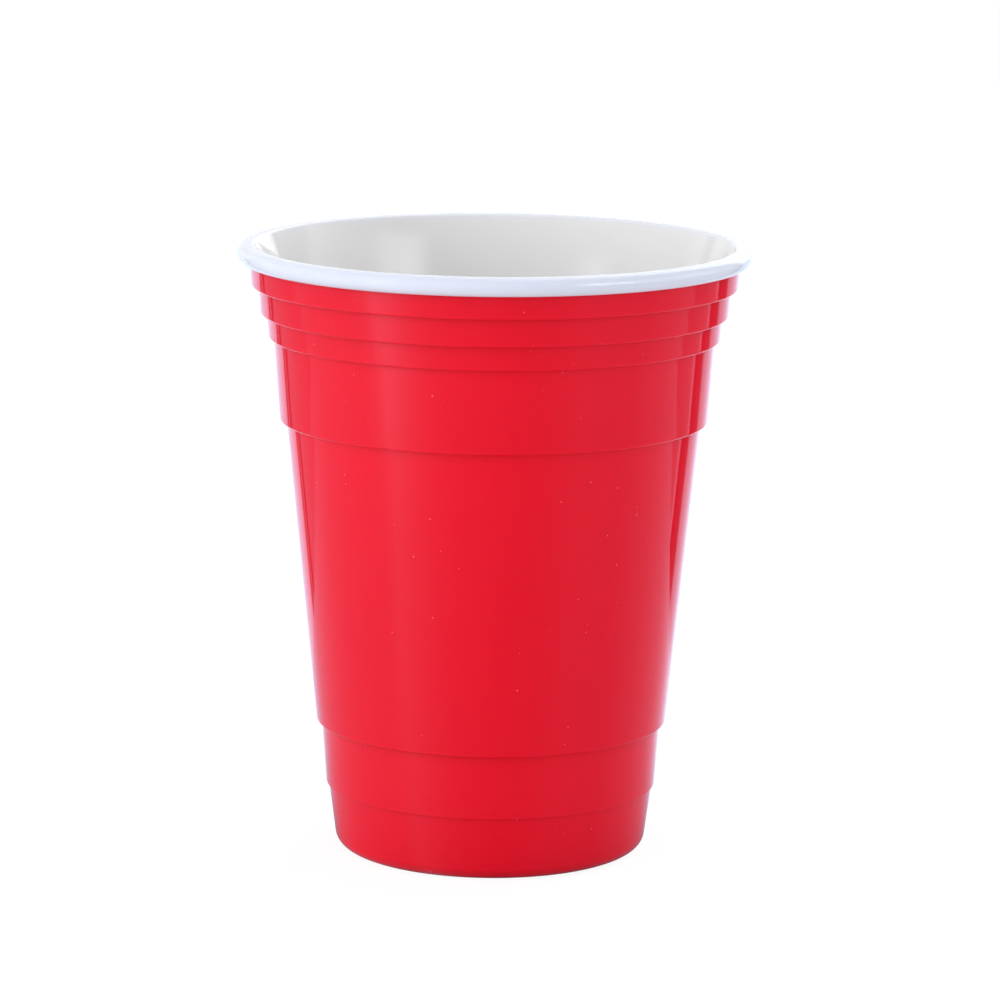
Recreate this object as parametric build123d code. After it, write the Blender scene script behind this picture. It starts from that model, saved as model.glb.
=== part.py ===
from build123d import *
import math
import os

# A plastic party cup: a tapered drinking cup with stepped bands outside, a flared mouth inside,
# a half-round lip and a recessed base. It is one moulded piece, so it is one revolved solid.
# Millimetres, +Z up, with the origin at the centre of the ring that the cup stands on.

# Overall sizes
height = 117.2
rim_radius = 49.0
base_radius = 29.7
wall = 1.2

# Lip: a half round over its whole thickness, with a flat stretch above and one below
lip_thickness = 3.5
lip_top_flat = 1.45
lip_underside_flat = 0.65

# Stepped bands below the lip, each as tall as it shows, over the ledge under it
top_ring_height = 4.4
top_ring_ledge = 1.35
middle_ring_height = 5.35
middle_ring_ledge = 1.2
lower_ring_height = 4.6
lower_ring_ledge = 1.0
grip_band_height = 15.9
grip_band_ledge = 1.3

# Stepped bands above the base, each under its ledge
heel_height = 12.4
heel_ledge = 0.45
foot_band_height = 12.4
foot_band_ledge = 1.0

# Draft of the bands, in degrees. The main wall takes up what is left between base and rim.
band_draft = 4.1
heel_draft = 7.6

# Inside: a straight cone that opens into the flared mouth
mouth_flare_height = 9.9
floor_thickness = 1.8

# Base: a rounded edge, and a recess inside the ring that the cup stands on
base_edge_radius = 2.8
foot_ring_width = 2.2
recess_depth = 1.8
recess_draft = 25.0


def spread(run, degrees):
    """How far a wall with this draft moves outwards over a run of height."""
    return run * math.tan(math.radians(degrees))


def foot_corners():
    """Outside corners from the base up to the main wall, as radius and height."""
    heel_top = base_radius + spread(heel_height, heel_draft)
    foot_band_bottom = heel_top + heel_ledge
    foot_band_top = foot_band_bottom + spread(foot_band_height, band_draft)
    main_wall_foot = heel_height + foot_band_height
    return [
        (base_radius, 0),
        (heel_top, heel_height),
        (foot_band_bottom, heel_height),
        (foot_band_top, main_wall_foot),
        (foot_band_top + foot_band_ledge, main_wall_foot),
    ]


def ring_corners(lip_underside):
    """Outside corners of the stepped bands, from the main wall up to the lip's underside."""
    bands = [
        (top_ring_height, top_ring_ledge),
        (middle_ring_height, middle_ring_ledge),
        (lower_ring_height, lower_ring_ledge),
        (grip_band_height, grip_band_ledge),
    ]
    radius, level = lip_underside
    corners = [(radius, level)]
    for band_height, ledge in bands:
        level -= band_height
        radius -= spread(band_height, band_draft)
        corners.append((radius, level))
        radius -= ledge
        corners.append((radius, level))
    return corners[::-1]


def inside_corners(lower_root, upper_root):
    """Inside corners from the start of the flare down to the centre of the floor.

    The cone keeps one wall thickness from the two steps where the outside comes closest."""
    lower_radius, lower_level = lower_root
    upper_radius, upper_level = upper_root
    slope = (upper_radius - lower_radius) / (upper_level - lower_level)

    def cone(level):
        return lower_radius - wall + slope * (level - lower_level)

    flare_level = height - mouth_flare_height
    floor_level = recess_depth + floor_thickness
    return [(cone(flare_level), flare_level), (cone(floor_level), floor_level), (0, floor_level)]


def recess_corners():
    """Corners under the base, from its centre out to the ring that the cup stands on."""
    ring_inner = base_radius - base_edge_radius - foot_ring_width
    recess_top = ring_inner - spread(recess_depth, recess_draft)
    return [(0, recess_depth), (recess_top, recess_depth), (ring_inner, 0)]


def half_section():
    """The wall's half section: one closed outline, with a half-round lip and a rounded base edge."""
    lip_radius = lip_thickness / 2
    lip_centre = rim_radius - lip_radius
    lip_bottom = height - lip_thickness
    foot = foot_corners()
    rings = ring_corners((lip_centre - lip_underside_flat, lip_bottom))
    recess = recess_corners()

    outside = Polyline(*recess, *foot, *rings, (lip_centre, lip_bottom))
    lip = ThreePointArc(outside @ 1, (rim_radius, height - lip_radius), (lip_centre, height))
    mouth = (lip_centre - lip_top_flat, height)
    inside = Polyline(lip @ 1, mouth, *inside_corners(foot[-2], rings[0]), recess[0])

    section = make_face(outside + lip + inside)
    base_edge = section.vertices().sort_by_distance(foot[0])[0]
    return Plane.XZ * fillet(base_edge, base_edge_radius)


def cup():
    """The cup: its half section turned round the Z axis."""
    return revolve(half_section(), Axis.Z)


os.makedirs("parts", exist_ok=True)
export_step(cup(), "parts/cup.step")
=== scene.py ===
import math

import bmesh
import bpy
from mathutils import Matrix, Vector


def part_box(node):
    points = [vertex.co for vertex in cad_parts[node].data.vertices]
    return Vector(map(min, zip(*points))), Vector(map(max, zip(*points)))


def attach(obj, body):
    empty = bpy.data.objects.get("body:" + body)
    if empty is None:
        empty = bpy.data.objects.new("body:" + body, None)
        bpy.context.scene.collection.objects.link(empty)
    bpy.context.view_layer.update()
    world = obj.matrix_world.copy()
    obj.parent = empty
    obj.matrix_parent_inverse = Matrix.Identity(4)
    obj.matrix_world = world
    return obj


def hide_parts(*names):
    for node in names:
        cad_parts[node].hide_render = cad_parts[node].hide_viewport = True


bl_info = {
    "name": "Plastic party cup",
    "version": (1, 0, 0),
    "blender": (4, 5, 0),
    "location": "View3D > Sidebar > Party cup",
    "description": "Models a two-tone stepped party cup and the plain studio round it",
    "category": "Object",
}

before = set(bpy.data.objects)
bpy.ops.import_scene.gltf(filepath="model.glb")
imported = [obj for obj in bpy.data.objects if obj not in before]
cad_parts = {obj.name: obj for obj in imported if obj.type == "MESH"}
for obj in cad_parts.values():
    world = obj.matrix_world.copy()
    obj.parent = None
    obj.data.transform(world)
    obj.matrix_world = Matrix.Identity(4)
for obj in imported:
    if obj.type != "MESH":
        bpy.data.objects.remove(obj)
CAD_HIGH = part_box("cup")[1]
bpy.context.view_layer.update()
MM = 0.001

# How finely the roundings are cut: one segment for each few degrees of turn, finer on a wide curve.
TIGHT_FACET = math.radians(10.0)
WIDE_FACET = math.radians(1.5)
WIDE_CURVE = 10.0 * MM
FEWEST_SEGMENTS = 3
# Just under a half, so that the lip's two roundings don't meet.
NEARLY_HALF = 0.499
# How near a point lies to count as on a ring, as the same point, or as past a face's edge.
ON_RING = 0.01 * MM
SAME_POINT = 0.02 * MM
FACE_MARGIN = 0.05 * MM
# The least upward share of the normal of a face that counts as floor.
FACES_UP = 0.5
SMOOTH_ANGLE = math.radians(40.0)
NEUTRAL_WEIGHT = 50

# Marks on the plastic. A scale is in cells or waves for each metre.
SPECK_SCALE = 550.0
SPECK_CHOICE = 0.6
SPECK_SIZE = 0.1
NO_SPECKS = 0.0
SHADE_SCALE = 22.0
SHADE_DETAIL = 3.0
SHADE_RANGE = (0.97, 1.03)
ROUGHNESS = 0.06
ROUGHNESS_RANGE = (0.8, 1.25)
RIPPLE_SCALE = 60.0
RIPPLE_DETAIL = 1.0
RIPPLE_STRENGTH = 0.1
RIPPLE_HEIGHT = 0.02 * MM

# How the plastic takes light. Red light goes deepest into the red plastic, and all colours go alike into
# the white.
PLASTIC_IOR = 1.5
RED_DEPTHS = (1.0, 0.2, 0.2)
WHITE_DEPTHS = (1.0, 1.0, 1.0)

# The floor as the camera sees it: mostly its own white, and a little of the light that falls on it, which
# holds the shadow.
FLOOR_WHITE = 0.9
FLOOR_SHADOW = 0.14
FLOOR_SIDES = 64

# The three soft lights: where they hang, and the length of their sides, in metres.
KEY_PLACE = (-1.06, -0.56, 0.5)
FRONT_PLACE = (0.6, -1.04, 0.5)
BACK_PLACE = (0.77, 0.92, 0.55)
SOFTBOX_SIDE = 0.9

# The camera's sensor width is in millimetres, and the nearest thing that it shows in metres.
SENSOR_WIDTH = 36.0
CLIP_START = 0.01


def metres(name, description, default):
    """A length that a user can set, shown in metres."""
    return bpy.props.FloatProperty(
        name=name, description=description, default=default, min=0.0, subtype="DISTANCE", unit="LENGTH"
    )


def angle(name, description, degrees):
    """An angle that a user can set, shown in degrees."""
    return bpy.props.FloatProperty(
        name=name, description=description, default=math.radians(degrees), subtype="ANGLE", unit="ROTATION"
    )


def colour(name, description, default):
    """A colour that a user can set."""
    return bpy.props.FloatVectorProperty(
        name=name, description=description, default=default, size=3, min=0.0, max=1.0, subtype="COLOR"
    )


def amount(name, description, default, high=100.0):
    """A plain number that a user can set."""
    return bpy.props.FloatProperty(name=name, description=description, default=default, min=0.0, max=high)


class CupSizes(bpy.types.PropertyGroup):
    """The cup's sizes, in metres. The height comes from the frame."""

    height: metres("Height", "From the table to the top of the lip", CAD_HIGH.z)
    rim_radius: metres("Rim radius", "From the axis to the outside of the lip", 49.0 * MM)
    base_radius: metres("Base radius", "Radius of the base before its edge is rounded", 29.7 * MM)
    wall: metres("Wall", "Thinnest wall, between a step's root and the inside", 1.2 * MM)

    lip_thickness: metres("Lip thickness", "Height of the lip's half round", 3.5 * MM)
    lip_top_flat: metres("Lip top flat", "Flat stretch on top of the lip", 1.45 * MM)
    lip_underside_flat: metres("Lip underside flat", "Flat stretch under the lip", 0.65 * MM)
    mouth_edge_radius: metres("Mouth edge radius", "Rounding of the lip's inner edge", 0.7 * MM)

    top_ring_height: metres("Top ring height", "First band under the lip", 4.4 * MM)
    top_ring_ledge: metres("Top ring ledge", "Step in under the first band", 1.35 * MM)
    middle_ring_height: metres("Middle ring height", "Second band under the lip", 5.35 * MM)
    middle_ring_ledge: metres("Middle ring ledge", "Step in under the second band", 1.2 * MM)
    lower_ring_height: metres("Lower ring height", "Third band under the lip", 4.6 * MM)
    lower_ring_ledge: metres("Lower ring ledge", "Step in under the third band", 1.0 * MM)
    grip_band_height: metres("Grip band height", "Tall band that the hand holds", 15.9 * MM)
    grip_band_ledge: metres("Grip band ledge", "Step in under the grip band", 1.3 * MM)
    heel_height: metres("Heel height", "Lowest band", 12.4 * MM)
    heel_ledge: metres("Heel ledge", "Step out over the lowest band", 0.45 * MM)
    foot_band_height: metres("Foot band height", "Band over the heel", 12.4 * MM)
    foot_band_ledge: metres("Foot band ledge", "Step out over the foot band", 1.0 * MM)
    band_draft: angle("Band draft", "Slope of the bands", 4.1)
    heel_draft: angle("Heel draft", "Slope of the lowest band", 7.6)
    step_edge_radius: metres("Step edge radius", "Rounding of each step's edge", 0.4 * MM)
    step_root_radius: metres("Step root radius", "Rounding in the corner of each step", 0.22 * MM)
    base_edge_radius: metres("Base edge radius", "Rounding of the base", 2.8 * MM)

    mouth_flare_height: metres("Mouth flare height", "How far the flared mouth reaches down", 9.9 * MM)
    mouth_flare_radius: metres("Mouth flare radius", "Curve that joins the flare to the cone", 55.0 * MM)
    floor_thickness: metres("Floor thickness", "Thickness of the cup's floor", 1.8 * MM)
    floor_corner_radius: metres("Floor corner radius", "Rounding between floor and inside wall", 4.0 * MM)
    foot_ring_width: metres("Foot ring width", "Flat ring that the cup stands on", 2.2 * MM)
    recess_depth: metres("Recess depth", "Depth of the recess under the base", 1.8 * MM)
    recess_draft: angle("Recess draft", "Slope of the recess's side", 25.0)
    recess_edge_radius: metres("Recess edge radius", "Rounding of the recess's corners", 0.6 * MM)
    segments: bpy.props.IntProperty(name="Segments", description="Faces round the cup", default=240, min=24)


class CupColours(bpy.types.PropertyGroup):
    """The cup's two plastics, the painted cool light on its lip, the dust on the red and how the plastic
    takes light.
    """

    outside: colour("Outside", "Red plastic of the outside and the base", (0.805, 0.0055, 0.024))
    inside: colour("Inside", "White plastic of the inside", (0.793, 0.789, 0.795))
    # Painted cool light: the lip is the inside's white plastic, painted cooler where it catches bluish
    # light.
    lip: colour("Lip", "Cooler white of the lip", (0.72, 0.755, 0.865))
    dust: colour("Dust", "Fine light specks on the plastic", (0.88, 0.15, 0.18))
    gloss: amount("Roughness", "Roughness of the moulded surface", ROUGHNESS, 1.0)
    depth: metres("Depth", "How deep light enters the plastic", 1.2 * MM)


class StudioSettings(bpy.types.PropertyGroup):
    """The floor, the light and the camera."""

    floor_radius: metres("Floor radius", "Radius of the pale floor", 6.0)
    table_back: metres("Table back", "From the cup's axis to the mirrored table's back edge", 0.131)
    sky: amount("Sky", "Strength of the soft light all round", 0.9)
    key_power: amount("Key light", "Power of the large soft light on the left, in watts", 7.3)
    front_power: amount("Front light", "Power of the soft light in front, in watts", 2.1)
    back_power: amount("Back light", "Power of the soft light behind on the right, in watts", 9.8)
    camera_distance: metres("Camera distance", "Level distance from the cup's axis", 0.86554)
    camera_height: metres("Camera height", "Height of the camera over the floor", 0.23102)
    camera_yaw: angle("Camera yaw", "Turn of the camera to the right", 0.091)
    camera_pitch: angle("Camera pitch", "Tilt of the camera down", 10.6945)
    camera_roll: angle("Camera roll", "Turn of the camera about its view", 0.5577)
    camera_lens: amount("Lens", "Focal length over a 36 mm sensor", 164.95, 1000.0)


def spread(run, slope):
    """How far a wall with this slope moves outwards over a run of height."""
    return run * math.tan(slope)


def foot_rings(s):
    """Outside rings from the base up to the main wall, as radius, level and rounding."""
    heel_top = s.base_radius + spread(s.heel_height, s.heel_draft)
    foot_bottom = heel_top + s.heel_ledge
    foot_top = foot_bottom + spread(s.foot_band_height, s.band_draft)
    wall_foot = s.heel_height + s.foot_band_height
    return [
        (s.base_radius, 0.0, s.base_edge_radius),
        (heel_top, s.heel_height, s.step_root_radius),
        (foot_bottom, s.heel_height, s.step_root_radius),
        (foot_top, wall_foot, s.step_root_radius),
        (foot_top + s.foot_band_ledge, wall_foot, s.step_edge_radius),
    ]


def band_rings(s, underside):
    """Outside rings of the stepped bands, from the main wall up to the lip's underside."""
    bands = [
        (s.top_ring_height, s.top_ring_ledge),
        (s.middle_ring_height, s.middle_ring_ledge),
        (s.lower_ring_height, s.lower_ring_ledge),
        (s.grip_band_height, s.grip_band_ledge),
    ]
    radius, level = underside
    rings = [(radius, level, s.step_root_radius)]
    for band_height, ledge in bands:
        level -= band_height
        radius -= spread(band_height, s.band_draft)
        rings.append((radius, level, s.step_edge_radius))
        radius -= ledge
        rings.append((radius, level, s.step_root_radius))
    return rings[::-1]


def lip_rings(s):
    """Rings of the lip: the half round's two corners, then the top's inner edge."""
    half = NEARLY_HALF * s.lip_thickness
    return [
        (s.rim_radius, s.height - s.lip_thickness, half),
        (s.rim_radius, s.height, half),
        (s.rim_radius - s.lip_thickness / 2 - s.lip_top_flat, s.height, s.mouth_edge_radius),
    ]


def inside_rings(s, lower_root, upper_root):
    """Inside rings from the flare down to the floor's corner.

    The cone keeps one wall thickness from the two steps where the outside comes closest."""
    slope = (upper_root[0] - lower_root[0]) / (upper_root[1] - lower_root[1])

    def cone(level):
        return lower_root[0] - s.wall + slope * (level - lower_root[1])

    flare_level = s.height - s.mouth_flare_height
    floor_level = s.recess_depth + s.floor_thickness
    return [
        (cone(flare_level), flare_level, s.mouth_flare_radius),
        (cone(floor_level), floor_level, s.floor_corner_radius),
    ]


def recess_rings(s):
    """Rings under the base, from the edge of the recess's flat out to the ring that the cup stands on."""
    ring_inner = s.base_radius - s.base_edge_radius - s.foot_ring_width
    recess_top = ring_inner - spread(s.recess_depth, s.recess_draft)
    return [
        (recess_top, s.recess_depth, s.recess_edge_radius),
        (ring_inner, 0.0, s.recess_edge_radius),
    ]


def cup_rings(s):
    """Every ring of the cup's shell, from the recess round the outside and the lip to the floor inside."""
    wall_top = s.rim_radius - s.lip_thickness / 2 - s.lip_underside_flat
    foot = foot_rings(s)
    bands = band_rings(s, (wall_top, s.height - s.lip_thickness))
    return recess_rings(s) + foot + bands + lip_rings(s) + inside_rings(s, foot[3], bands[0])


def deselect_all():
    """Leaves nothing selected, because an operator acts on all that is."""
    bpy.ops.object.select_all(action="DESELECT")


def start_disc(name, ring, segments):
    """Adds a closed disc and selects its open rim in edit mode."""
    radius, level, _ = ring
    deselect_all()
    bpy.ops.mesh.primitive_circle_add(
        vertices=segments, radius=radius, fill_type="TRIFAN", location=(0.0, 0.0, level)
    )
    piece = bpy.context.object
    piece.name = name
    piece.data.name = name
    bpy.ops.object.transform_apply(location=True, rotation=True, scale=True)
    bpy.ops.object.mode_set(mode="EDIT")
    bpy.ops.mesh.select_mode(type="EDGE")
    bpy.ops.mesh.select_all(action="DESELECT")
    bpy.ops.mesh.select_non_manifold()
    return piece


def pull_ring(ring, target):
    """Extrudes the selected ring of edges to its next radius and level."""
    rise = target[1] - ring[1]
    grow = target[0] / ring[0]
    bpy.ops.mesh.extrude_edges_move(TRANSFORM_OT_translate={"value": (0.0, 0.0, rise)})
    bpy.ops.transform.resize(value=(grow, grow, 1.0), center_override=(0.0, 0.0, target[1]))


def close_ring():
    """Fills the selected ring with a fan that meets at its centre."""
    bpy.ops.mesh.extrude_edges_move()
    bpy.ops.mesh.merge(type="CENTER")


def select_ring(piece, ring):
    """Selects the edges that lie on one ring."""
    bpy.ops.mesh.select_all(action="DESELECT")
    shell = bmesh.from_edit_mesh(piece.data)
    for edge in shell.edges:
        on_ring = [
            abs(v.co.z - ring[1]) < ON_RING and abs(v.co.xy.length - ring[0]) < ON_RING
            for v in edge.verts
        ]
        edge.select_set(all(on_ring))
    shell.select_flush_mode()
    bmesh.update_edit_mesh(piece.data)


def turn_at(rings, i):
    """The angle by which the outline turns at ring i."""
    here = Vector(rings[i][:2])
    before = here - Vector(rings[i - 1][:2])
    after = Vector(rings[i + 1][:2]) - here
    return before.angle(after)


def round_ring(piece, rings, i):
    """Bevels ring i to its rounding, with a segment for each few degrees of its turn."""
    turn = turn_at(rings, i)
    facet = TIGHT_FACET if rings[i][2] < WIDE_CURVE else WIDE_FACET
    select_ring(piece, rings[i])
    bpy.ops.mesh.bevel(
        offset_type="OFFSET",
        offset=rings[i][2] * math.tan(turn / 2),
        segments=max(FEWEST_SEGMENTS, math.ceil(turn / facet)),
        profile=0.5,
        affect="EDGES",
    )


def turned_shell(name, rings, segments):
    """Models a closed shell of revolution ring by ring, then rounds its corners."""
    piece = start_disc(name, rings[0], segments)
    for ring, target in zip(rings, rings[1:]):
        pull_ring(ring, target)
    close_ring()
    # The centres of the last and the first disc are the end rings' other neighbours.
    outline = [*rings, (0.0, rings[-1][1], 0.0), (0.0, rings[0][1], 0.0)]
    for i in range(len(rings)):
        round_ring(piece, outline, i)
    bpy.ops.mesh.select_all(action="SELECT")
    bpy.ops.mesh.remove_doubles(threshold=SAME_POINT)
    bpy.ops.mesh.normals_make_consistent(inside=False)
    bpy.ops.object.mode_set(mode="OBJECT")
    return piece


def smooth_shell(piece):
    """Shades the shell smooth, with each wall's own normal kept up to its roundings."""
    bpy.ops.object.shade_smooth_by_angle(angle=SMOOTH_ANGLE)
    weighted = piece.modifiers.new("wall_normals", "WEIGHTED_NORMAL")
    weighted.weight = NEUTRAL_WEIGHT
    weighted.keep_sharp = True
    bpy.ops.object.modifier_apply(modifier=weighted.name)


def inside_faces(piece, s):
    """Gives the faces of the inside and the lip the second plastic."""
    lip_root = s.rim_radius - s.lip_thickness / 2 - s.lip_underside_flat - FACE_MARGIN
    lip_bottom = s.height - s.lip_thickness - FACE_MARGIN
    lip_top = s.height - s.lip_thickness / 3
    for face in piece.data.polygons:
        centre = face.center
        radius = centre.xy.length
        on_lip = centre.z > lip_top or (centre.z > lip_bottom and radius > lip_root)
        over_recess = centre.z > s.recess_depth + FACE_MARGIN
        looks_in = face.normal.xy.dot(centre.xy) < 0.0
        on_floor = face.normal.z > FACES_UP and radius < s.base_radius
        face.material_index = int(on_lip or (over_recess and (looks_in or on_floor)))


def new_group(name, inputs, outputs):
    """A shader node group with named sockets."""
    group = bpy.data.node_groups.new(name, "ShaderNodeTree")
    for label, kind, default in inputs:
        socket = group.interface.new_socket(name=label, in_out="INPUT", socket_type=kind)
        socket.default_value = default
    for label, kind in outputs:
        group.interface.new_socket(name=label, in_out="OUTPUT", socket_type=kind)
    return group


def add(tree, kind, **settings):
    """Adds a node and sets its own fields."""
    node = tree.nodes.new(kind)
    for field, value in settings.items():
        setattr(node, field, value)
    return node


def calculate(tree, operation, *terms):
    """A math node on sockets and plain numbers."""
    node = add(tree, "ShaderNodeMath", operation=operation)
    for socket, term in zip(node.inputs, terms):
        if isinstance(term, bpy.types.NodeSocket):
            tree.links.new(term, socket)
        else:
            socket.default_value = term
    return node.outputs[0]


def axis_distance(tree, place):
    """Distance from the cup's axis, from a separated place."""
    across, ahead = place.outputs["X"], place.outputs["Y"]
    squares = [calculate(tree, "MULTIPLY", side, side) for side in (across, ahead)]
    return calculate(tree, "SQRT", calculate(tree, "ADD", *squares))


def noise(tree, vector, scale, detail):
    """Soft noise from 0 to 1."""
    texture = add(tree, "ShaderNodeTexNoise")
    texture.inputs["Scale"].default_value = scale
    texture.inputs["Detail"].default_value = detail
    tree.links.new(vector, texture.inputs["Vector"])
    return texture.outputs["Fac"]


def ranged(tree, value, limits):
    """Spreads a value from 0 to 1 over the range between two limits."""
    node = add(tree, "ShaderNodeMapRange")
    node.inputs["To Min"].default_value, node.inputs["To Max"].default_value = limits
    tree.links.new(value, node.inputs["Value"])
    return node.outputs["Result"]


def moulded_surface_group():
    """Fine marks of moulded plastic: dust specks, a slow change of shade and gloss, a faint ripple."""
    group = new_group(
        "moulded_surface",
        [
            ("Vector", "NodeSocketVector", (0.0, 0.0, 0.0)),
            ("Colour", "NodeSocketColor", (0.8, 0.8, 0.8, 1.0)),
            ("Dust", "NodeSocketColor", (1.0, 1.0, 1.0, 1.0)),
            ("Dust size", "NodeSocketFloat", SPECK_SIZE),
            ("Roughness", "NodeSocketFloat", ROUGHNESS),
        ],
        [("Colour", "NodeSocketColor"), ("Roughness", "NodeSocketFloat"), ("Height", "NodeSocketFloat")],
    )
    given = add(group, "NodeGroupInput").outputs
    out = add(group, "NodeGroupOutput").inputs
    link = group.links.new

    # A cell holds one speck at most. Its own random colour says whether, how large and how bright.
    cells = add(group, "ShaderNodeTexVoronoi", feature="F1")
    cells.inputs["Scale"].default_value = SPECK_SCALE
    link(given["Vector"], cells.inputs["Vector"])
    pick = add(group, "ShaderNodeSeparateColor")
    link(cells.outputs["Color"], pick.inputs["Color"])
    chosen = calculate(group, "GREATER_THAN", pick.outputs["Red"], SPECK_CHOICE)
    reach = calculate(group, "MULTIPLY", pick.outputs["Green"], given["Dust size"])
    dot = calculate(group, "LESS_THAN", cells.outputs["Distance"], reach)
    kept = calculate(group, "MULTIPLY", chosen, dot)
    speck = calculate(group, "MULTIPLY", kept, pick.outputs["Blue"])

    slow = noise(group, given["Vector"], SHADE_SCALE, SHADE_DETAIL)
    tinted = add(group, "ShaderNodeVectorMath", operation="SCALE")
    link(given["Colour"], tinted.inputs[0])
    link(ranged(group, slow, SHADE_RANGE), tinted.inputs["Scale"])
    dusted = add(group, "ShaderNodeMix", data_type="RGBA")
    link(speck, dusted.inputs["Factor"])
    link(tinted.outputs[0], dusted.inputs["A"])
    link(given["Dust"], dusted.inputs["B"])
    link(dusted.outputs["Result"], out["Colour"])

    rough = calculate(group, "MULTIPLY", ranged(group, slow, ROUGHNESS_RANGE), given["Roughness"])
    link(calculate(group, "MAXIMUM", rough, speck), out["Roughness"])
    link(noise(group, given["Vector"], RIPPLE_SCALE, RIPPLE_DETAIL), out["Height"])
    return group


def rim_mask_group():
    """How far a point lies out from the axis: 0 up to one radius, 1 from a larger one."""
    group = new_group(
        "rim_mask",
        [
            ("Vector", "NodeSocketVector", (0.0, 0.0, 0.0)),
            ("Inner radius", "NodeSocketFloat", 45.0 * MM),
            ("Outer radius", "NodeSocketFloat", 46.0 * MM),
        ],
        [("Mask", "NodeSocketFloat")],
    )
    given = add(group, "NodeGroupInput").outputs
    out = add(group, "NodeGroupOutput")
    parts = add(group, "ShaderNodeSeparateXYZ")
    group.links.new(given["Vector"], parts.inputs[0])
    fade = add(group, "ShaderNodeMapRange", interpolation_type="SMOOTHSTEP")
    group.links.new(axis_distance(group, parts), fade.inputs["Value"])
    group.links.new(given["Inner radius"], fade.inputs["From Min"])
    group.links.new(given["Outer radius"], fade.inputs["From Max"])
    group.links.new(fade.outputs["Result"], out.inputs["Mask"])
    return group


def plastic(name, base, dust, dust_size, roughness, depths):
    """A glossy moulded plastic, which each colour of light enters to a small depth."""
    material = bpy.data.materials.new(name)
    material.use_nodes = True
    tree = material.node_tree
    shader = tree.nodes["Principled BSDF"]
    link = tree.links.new
    place = add(tree, "ShaderNodeTexCoord")
    marks = add(tree, "ShaderNodeGroup", name="marks")
    marks.node_tree = bpy.data.node_groups["moulded_surface"]
    marks.inputs["Colour"].default_value = (*base, 1.0)
    marks.inputs["Dust"].default_value = (*dust, 1.0)
    marks.inputs["Dust size"].default_value = dust_size
    marks.inputs["Roughness"].default_value = roughness
    bump = add(tree, "ShaderNodeBump")
    bump.inputs["Strength"].default_value = RIPPLE_STRENGTH
    bump.inputs["Distance"].default_value = RIPPLE_HEIGHT
    link(place.outputs["Object"], marks.inputs["Vector"])
    link(marks.outputs["Colour"], shader.inputs["Base Color"])
    link(marks.outputs["Roughness"], shader.inputs["Roughness"])
    link(marks.outputs["Height"], bump.inputs["Height"])
    link(bump.outputs["Normal"], shader.inputs["Normal"])
    shader.inputs["IOR"].default_value = PLASTIC_IOR
    shader.inputs["Subsurface Weight"].default_value = 1.0
    shader.inputs["Subsurface Radius"].default_value = depths
    shader.inputs["Subsurface Scale"].default_value = 1.0
    return material


def paint_cool_light_on_lip(material, base, lip, sizes):
    """Paints cool light on the white plastic: a cooler white from the lip's inner edge outwards."""
    tree = material.node_tree
    mouth_edge = sizes.rim_radius - sizes.lip_thickness / 2 - sizes.lip_top_flat
    place = add(tree, "ShaderNodeTexCoord")
    rim = add(tree, "ShaderNodeGroup")
    rim.node_tree = bpy.data.node_groups["rim_mask"]
    rim.inputs["Inner radius"].default_value = mouth_edge - sizes.mouth_edge_radius
    rim.inputs["Outer radius"].default_value = mouth_edge + sizes.mouth_edge_radius
    cool_light_paint = add(tree, "ShaderNodeMix", data_type="RGBA")
    cool_light_paint.inputs["A"].default_value = (*base, 1.0)
    cool_light_paint.inputs["B"].default_value = (*lip, 1.0)
    tree.links.new(place.outputs["Object"], rim.inputs["Vector"])
    tree.links.new(rim.outputs["Mask"], cool_light_paint.inputs["Factor"])
    tree.links.new(cool_light_paint.outputs["Result"], tree.nodes["marks"].inputs["Colour"])


class PARTYCUP_OT_cup(bpy.types.Operator):
    """Models the cup as one closed shell, red outside and white inside"""

    bl_idname = "partycup.cup"
    bl_label = "Cup"

    def execute(self, context):
        sizes = context.scene.partycup_sizes
        colours = context.scene.partycup_colours
        cup = turned_shell("party_cup", cup_rings(sizes), sizes.segments)
        smooth_shell(cup)
        moulded_surface_group()
        rim_mask_group()
        red_depths = [colours.depth * share for share in RED_DEPTHS]
        white_depths = [colours.depth * share for share in WHITE_DEPTHS]
        red = plastic(
            "red_plastic", colours.outside, colours.dust, SPECK_SIZE, colours.gloss, red_depths
        )
        white = plastic(
            "white_plastic", colours.inside, colours.inside, NO_SPECKS, colours.gloss, white_depths
        )
        # The lip's cooler white is painted cool light.
        paint_cool_light_on_lip(white, colours.inside, colours.lip, sizes)
        cup.data.materials.append(red)
        cup.data.materials.append(white)
        inside_faces(cup, sizes)
        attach(cup, "root")
        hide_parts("cup")
        return {"FINISHED"}


# What the glossy cup mirrors, as (position, brightness) points. An azimuth is in degrees round the cup,
# 0 towards the camera and positive to the right. A distance is in metres from the cup's axis, and a rise
# is the sine of a direction's slope.
# These levels are fitted to one photo and show no real room. Those of the table, the sides of the backdrop
# and its gaps were worked back from the photo by another program, thinned, rounded and then tuned.

# The pale table: dim in the cup's own shade in front, brighter at the sides and behind.
TABLE_BY_AZIMUTH = [
    (-180, 1.15),
    (-150, 0.95),
    (-136, 0.66),
    (-124, 0.55),
    (-104, 0.45),
    (-72, 0.42),
    (-40, 0.38),
    (-20, 0.24),
    (8, 0.17),
    (28, 0.19),
    (48, 0.28),
    (76, 0.28),
    (96, 0.38),
    (112, 0.50),
    (124, 0.60),
    (136, 0.85),
    (150, 1.3),
    (180, 1.15),
]
TABLE_BY_DISTANCE = [
    (0.03, 0.48),
    (0.055, 0.76),
    (0.09, 0.87),
    (0.20, 1.0),
    (0.40, 1.15),
]

# The mirrored table's azimuths are taken round a point this far in front of the axis, near the wall that
# mirrors it.
TABLE_SHIFT = 19.0 * MM
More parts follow.
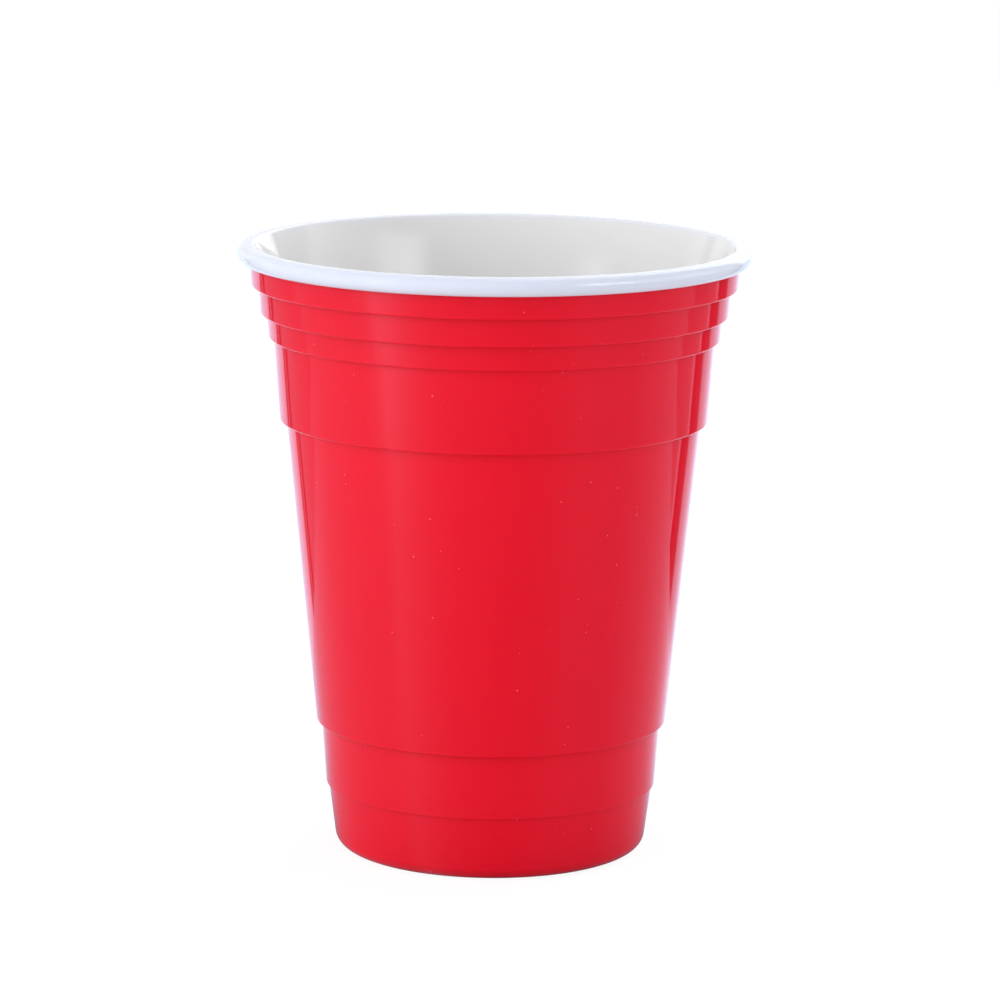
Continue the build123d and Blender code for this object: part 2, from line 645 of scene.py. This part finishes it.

# The share of its light that the table throws back on the cup: less near the foot, as painted shade,
# except on the lit side, where painted key light makes it more near the foot.
PAINTED_SHADE_BOUNCE = [
    (0.03, 0.58),
    (0.06, 0.72),
    (0.12, 0.80),
]
PAINTED_KEY_LIGHT_BOUNCE = [
    (0.03, 0.95),
    (0.06, 0.90),
    (0.12, 0.80),
]
LIT_SIDE = [
    (-150, 0.0),
    (-110, 1.0),
    (-60, 1.0),
    (-30, 0.0),
]

# A tall soft light on the left, as the table mirrors it.
STRIP_BY_AZIMUTH = [
    (-72, 0.0),
    (-64, 0.3),
    (-58, 1.0),
    (-52, 0.8),
    (-42, 0.2),
    (-34, 0.0),
]
STRIP_BY_DISTANCE = [
    (0.05, 0.12),
    (0.20, 0.25),
    (0.36, 0.60),
]

# The backdrop past the table's back edge, and the dark gaps beside its panels.
BACKDROP_BY_AZIMUTH = [
    (-180, 1.1),
    (-156, 1.06),
    (-148, 0.95),
    (-145, 0.50),
    (-138, 0.37),
    (-112, 0.36),
    (-90, 0.50),
    (-40, 0.45),
    (0, 0.3),
    (60, 0.35),
    (112, 0.26),
    (128, 0.33),
    (138, 0.40),
    (144, 0.62),
    (156, 0.95),
    (166, 1.25),
    (180, 1.1),
]
LEFT_GAPS = [
    (-147.5, 1.0),
    (-146.5, 0.25),
    (-144.5, 0.25),
    (-143.8, 1.0),
    (-143.0, 1.0),
    (-142.3, 0.1),
    (-140.3, 0.1),
    (-139.3, 1.0),
]
RIGHT_GAP = [
    (128.5, 1.0),
    (129.5, 1.9),
    (131.0, 1.9),
    (131.8, 0.1),
    (137.0, 0.2),
    (142.5, 0.2),
    (144.0, 1.0),
]

# The room over the cup, which shows in the mouth and the lip.
ROOM_BY_AZIMUTH = [
    (-180, 1.1),
    (-152, 0.9),
    (-146, 1.2),
    (-141, 1.0),
    (-137, 0.45),
    (-133, 0.5),
    (-128, 1.1),
    (-122, 1.0),
    (-116, 0.6),
    (-60, 0.5),
    (30, 0.4),
    (110, 0.6),
    (141, 0.35),
    (144, 2.0),
    (160, 2.0),
    (180, 1.1),
]
ROOM_BY_RISE = [
    (0.02, 0.0),
    (0.08, 1.0),
]

# A window on the right, and the tall soft light on the left itself.
WINDOW_BY_AZIMUTH = [
    (34, 0.0),
    (46, 2.5),
    (60, 2.1),
    (72, 0.8),
    (110, 0.7),
    (118, 0.0),
]
WINDOW_BY_RISE = [
    (0.02, 0.0),
    (0.10, 1.6),
    (0.40, 1.5),
    (0.50, 1.0),
    (0.60, 0.0),
]
STRIP_BY_RISE = [
    (0.05, 0.0),
    (0.12, 2.0),
    (0.35, 2.0),
    (0.45, 0.0),
]

# The tint of the mirrored table and backdrop.
COOL = (0.82, 1.0, 1.3)


def azimuth_of(tree, across, ahead):
    """Azimuth in degrees, 0 towards the camera and positive to the right."""
    turn = calculate(tree, "ARCTAN2", across, calculate(tree, "MULTIPLY", ahead, -1.0))
    return calculate(tree, "MULTIPLY", turn, 180.0 / math.pi)


def cooled(tree, level):
    """The level in the cool tint of the mirrored table and backdrop."""
    scaled = add(tree, "ShaderNodeVectorMath", operation="SCALE")
    scaled.inputs[0].default_value = COOL
    tree.links.new(level, scaled.inputs["Scale"])
    return scaled.outputs[0]


def graph(tree, value, points):
    """Reads a level off a line through (position, level) points."""
    low, high = points[0][0], points[-1][0]
    share = add(tree, "ShaderNodeMapRange")
    share.inputs["From Min"].default_value = low
    share.inputs["From Max"].default_value = high
    tree.links.new(value, share.inputs["Value"])
    ramp = add(tree, "ShaderNodeValToRGB")
    stops = ramp.color_ramp.elements
    stops.remove(stops[1])
    for position, level in points:
        stop = stops[0] if position == low else stops.new((position - low) / (high - low))
        stop.color = (level, level, level, 1.0)
    tree.links.new(share.outputs["Result"], ramp.inputs["Fac"])
    return ramp.outputs["Color"]


def mixed(tree, factor, first, second):
    """A mix of two shaders, the second where the factor is 1."""
    mix = add(tree, "ShaderNodeMixShader")
    for socket, source in zip(mix.inputs, (factor, first, second)):
        tree.links.new(source, socket)
    return mix.outputs[0]


def patch(tree, across, across_points, along, along_points):
    """A level that changes two ways: the product of two graphs."""
    levels = graph(tree, across, across_points), graph(tree, along, along_points)
    return calculate(tree, "MULTIPLY", *levels)


def seen_directly(tree, paths):
    """1 for a ray that comes straight from the camera, also through something clear."""
    return calculate(
        tree, "MAXIMUM", paths.outputs["Is Camera Ray"], paths.outputs["Is Transmission Ray"]
    )


def table_level(tree, place):
    """The mirrored table's brightness round the cup."""
    shifted = calculate(tree, "ADD", place.outputs["Y"], TABLE_SHIFT)
    azimuth = azimuth_of(tree, place.outputs["X"], shifted)
    distance = axis_distance(tree, place)
    top = patch(tree, azimuth, TABLE_BY_AZIMUTH, distance, TABLE_BY_DISTANCE)
    strip = patch(tree, azimuth, STRIP_BY_AZIMUTH, distance, STRIP_BY_DISTANCE)
    return calculate(tree, "ADD", top, strip)


def bounce_with_painted_shade(tree, place):
    """The share of its light that the table throws back on the cup, with painted shade and key light."""
    azimuth = azimuth_of(tree, place.outputs["X"], place.outputs["Y"])
    distance = axis_distance(tree, place)
    bounce = add(tree, "ShaderNodeMix", data_type="RGBA")
    tree.links.new(graph(tree, azimuth, LIT_SIDE), bounce.inputs["Factor"])
    tree.links.new(graph(tree, distance, PAINTED_SHADE_BOUNCE), bounce.inputs["A"])
    tree.links.new(graph(tree, distance, PAINTED_KEY_LIGHT_BOUNCE), bounce.inputs["B"])
    return bounce.outputs["Result"]


def floor_material(studio):
    """A pale table: white to the camera with a faint shadow, a painted glow in the cup's reflections."""
    material = bpy.data.materials.new("studio_floor")
    material.use_nodes = True
    tree = material.node_tree
    tree.nodes.clear()
    link = tree.links.new
    out = add(tree, "ShaderNodeOutputMaterial")
    paths = add(tree, "ShaderNodeLightPath")
    coordinates = add(tree, "ShaderNodeTexCoord")
    place = add(tree, "ShaderNodeSeparateXYZ")
    link(coordinates.outputs["Object"], place.inputs[0])

    # The table in the cup's reflections is a painted glow, with painted shade in front and a painted
    # reflection of the soft light.
    painted_table_glow = add(tree, "ShaderNodeEmission")
    link(cooled(tree, table_level(tree, place)), painted_table_glow.inputs["Color"])
    lit = add(tree, "ShaderNodeBsdfDiffuse")
    # The table's bounce holds painted shade near the foot and painted key light on the lit side.
    link(bounce_with_painted_shade(tree, place), lit.inputs["Color"])
    faint = add(tree, "ShaderNodeBsdfDiffuse")
    faint.inputs["Color"].default_value = (FLOOR_SHADOW, FLOOR_SHADOW, FLOOR_SHADOW, 1.0)
    white = add(tree, "ShaderNodeEmission")
    white.inputs["Strength"].default_value = FLOOR_WHITE
    seen = add(tree, "ShaderNodeAddShader")
    link(faint.outputs[0], seen.inputs[0])
    link(white.outputs[0], seen.inputs[1])
    clear = add(tree, "ShaderNodeBsdfTransparent")

    past_table = calculate(tree, "GREATER_THAN", place.outputs["Y"], studio.table_back)
    mirrored = mixed(tree, past_table, painted_table_glow.outputs[0], clear.outputs[0])
    unseen = mixed(tree, paths.outputs["Is Glossy Ray"], lit.outputs[0], mirrored)
    link(mixed(tree, seen_directly(tree, paths), unseen, seen.outputs[0]), out.inputs["Surface"])
    return material


def add_floor(studio):
    """A round pale floor, level with the base."""
    deselect_all()
    bpy.ops.mesh.primitive_circle_add(
        vertices=FLOOR_SIDES, radius=studio.floor_radius, fill_type="NGON"
    )
    floor = bpy.context.object
    floor.name = "floor"
    floor.data.materials.append(floor_material(studio))


def room_tones(tree, place):
    """Brightness and tint of the backdrop and the room, by direction."""
    azimuth = azimuth_of(tree, place.outputs["X"], place.outputs["Y"])
    rise = place.outputs["Z"]
    gaps = patch(tree, azimuth, LEFT_GAPS, azimuth, RIGHT_GAP)
    backdrop = calculate(tree, "MULTIPLY", graph(tree, azimuth, BACKDROP_BY_AZIMUTH), gaps)
    window = patch(tree, azimuth, WINDOW_BY_AZIMUTH, rise, WINDOW_BY_RISE)
    strip = patch(tree, azimuth, STRIP_BY_AZIMUTH, rise, STRIP_BY_RISE)
    lights = calculate(tree, "ADD", window, strip)
    room = calculate(tree, "ADD", graph(tree, azimuth, ROOM_BY_AZIMUTH), lights)
    tone = add(tree, "ShaderNodeMix", data_type="RGBA")
    tree.links.new(graph(tree, rise, ROOM_BY_RISE), tone.inputs["Factor"])
    tree.links.new(cooled(tree, backdrop), tone.inputs["A"])
    tree.links.new(room, tone.inputs["B"])
    return tone.outputs["Result"]


def add_sky(studio):
    """Soft light from all round: white to the camera, even on matt surfaces, toned in reflections."""
    world = bpy.data.worlds.new("studio")
    bpy.context.scene.world = world
    world.use_nodes = True
    tree = world.node_tree
    tree.nodes.clear()
    link = tree.links.new
    out = add(tree, "ShaderNodeOutputWorld")
    paths = add(tree, "ShaderNodeLightPath")
    coordinates = add(tree, "ShaderNodeTexCoord")
    place = add(tree, "ShaderNodeSeparateXYZ")
    link(coordinates.outputs["Generated"], place.inputs[0])
    even = add(tree, "ShaderNodeBackground")
    even.inputs["Strength"].default_value = studio.sky
    toned = add(tree, "ShaderNodeBackground")
    link(room_tones(tree, place), toned.inputs["Color"])
    white = add(tree, "ShaderNodeBackground")
    unseen = mixed(tree, paths.outputs["Is Glossy Ray"], even.outputs[0], toned.outputs[0])
    link(mixed(tree, seen_directly(tree, paths), unseen, white.outputs[0]), out.inputs["Surface"])


def aim(thing, target):
    """Turns a light to face a point."""
    thing.rotation_euler = (Vector(target) - thing.location).to_track_quat("-Z", "Y").to_euler()


def add_softbox(name, place, power):
    """A large square soft light that faces the middle of the cup."""
    deselect_all()
    bpy.ops.object.light_add(type="AREA", location=place)
    light = bpy.context.object
    light.name = name
    light.data.shape = "SQUARE"
    light.data.size = SOFTBOX_SIDE
    light.data.energy = power
    light.visible_glossy = False
    aim(light, (0.0, 0.0, CAD_HIGH.z / 2))


def add_camera(studio):
    """The camera, placed and turned as the photograph's was."""
    yaw, pitch, roll = studio.camera_yaw, studio.camera_pitch, studio.camera_roll
    ahead = Vector((math.sin(yaw) * math.cos(pitch), math.cos(yaw) * math.cos(pitch), -math.sin(pitch)))
    level_right = Vector((math.cos(yaw), -math.sin(yaw), 0.0))
    level_up = level_right.cross(ahead)
    right = math.cos(roll) * level_right + math.sin(roll) * level_up
    up = math.cos(roll) * level_up - math.sin(roll) * level_right
    place = Vector((0.0, -studio.camera_distance, studio.camera_height))
    deselect_all()
    bpy.ops.object.camera_add(location=place)
    camera = bpy.context.object
    camera.name = "camera"
    camera.data.sensor_width = SENSOR_WIDTH
    camera.data.lens = studio.camera_lens
    camera.data.clip_start = CLIP_START
    camera.rotation_euler = Matrix((right, up, -ahead)).transposed().to_euler()
    bpy.context.scene.camera = camera


class PARTYCUP_OT_studio(bpy.types.Operator):
    """Sets the floor, the soft light and the camera round the cup"""

    bl_idname = "partycup.studio"
    bl_label = "Studio"

    def execute(self, context):
        studio = context.scene.partycup_studio
        context.scene.view_settings.view_transform = "Standard"
        add_floor(studio)
        add_sky(studio)
        add_softbox("key_light", KEY_PLACE, studio.key_power)
        add_softbox("front_light", FRONT_PLACE, studio.front_power)
        add_softbox("back_light", BACK_PLACE, studio.back_power)
        add_camera(studio)
        return {"FINISHED"}


class PARTYCUP_PT_panel(bpy.types.Panel):
    """Lists the cup's settings and its two steps"""

    bl_label = "Party cup"
    bl_idname = "PARTYCUP_PT_panel"
    bl_space_type = "VIEW_3D"
    bl_region_type = "UI"
    bl_category = "Party cup"

    def draw(self, context):
        scene = context.scene
        for title, group in (
            ("Sizes", scene.partycup_sizes),
            ("Colours", scene.partycup_colours),
            ("Studio", scene.partycup_studio),
        ):
            box = self.layout.box()
            box.label(text=title)
            for name in group.__annotations__:
                box.prop(group, name)
        self.layout.operator(PARTYCUP_OT_cup.bl_idname)
        self.layout.operator(PARTYCUP_OT_studio.bl_idname)


CLASSES = (
    CupSizes,
    CupColours,
    StudioSettings,
    PARTYCUP_OT_cup,
    PARTYCUP_OT_studio,
    PARTYCUP_PT_panel,
)


def register():
    """Registers the classes and hangs the settings on the scene."""
    for cls in CLASSES:
        bpy.utils.register_class(cls)
    bpy.types.Scene.partycup_sizes = bpy.props.PointerProperty(type=CupSizes)
    bpy.types.Scene.partycup_colours = bpy.props.PointerProperty(type=CupColours)
    bpy.types.Scene.partycup_studio = bpy.props.PointerProperty(type=StudioSettings)


def unregister():
    """Takes the settings and the classes away again."""
    del bpy.types.Scene.partycup_studio
    del bpy.types.Scene.partycup_colours
    del bpy.types.Scene.partycup_sizes
    for cls in reversed(CLASSES):
        bpy.utils.unregister_class(cls)


def main():
    """Makes the cup and its studio."""
    register()
    bpy.ops.partycup.cup()
    bpy.ops.partycup.studio()


if __name__ == "__main__":
    main()
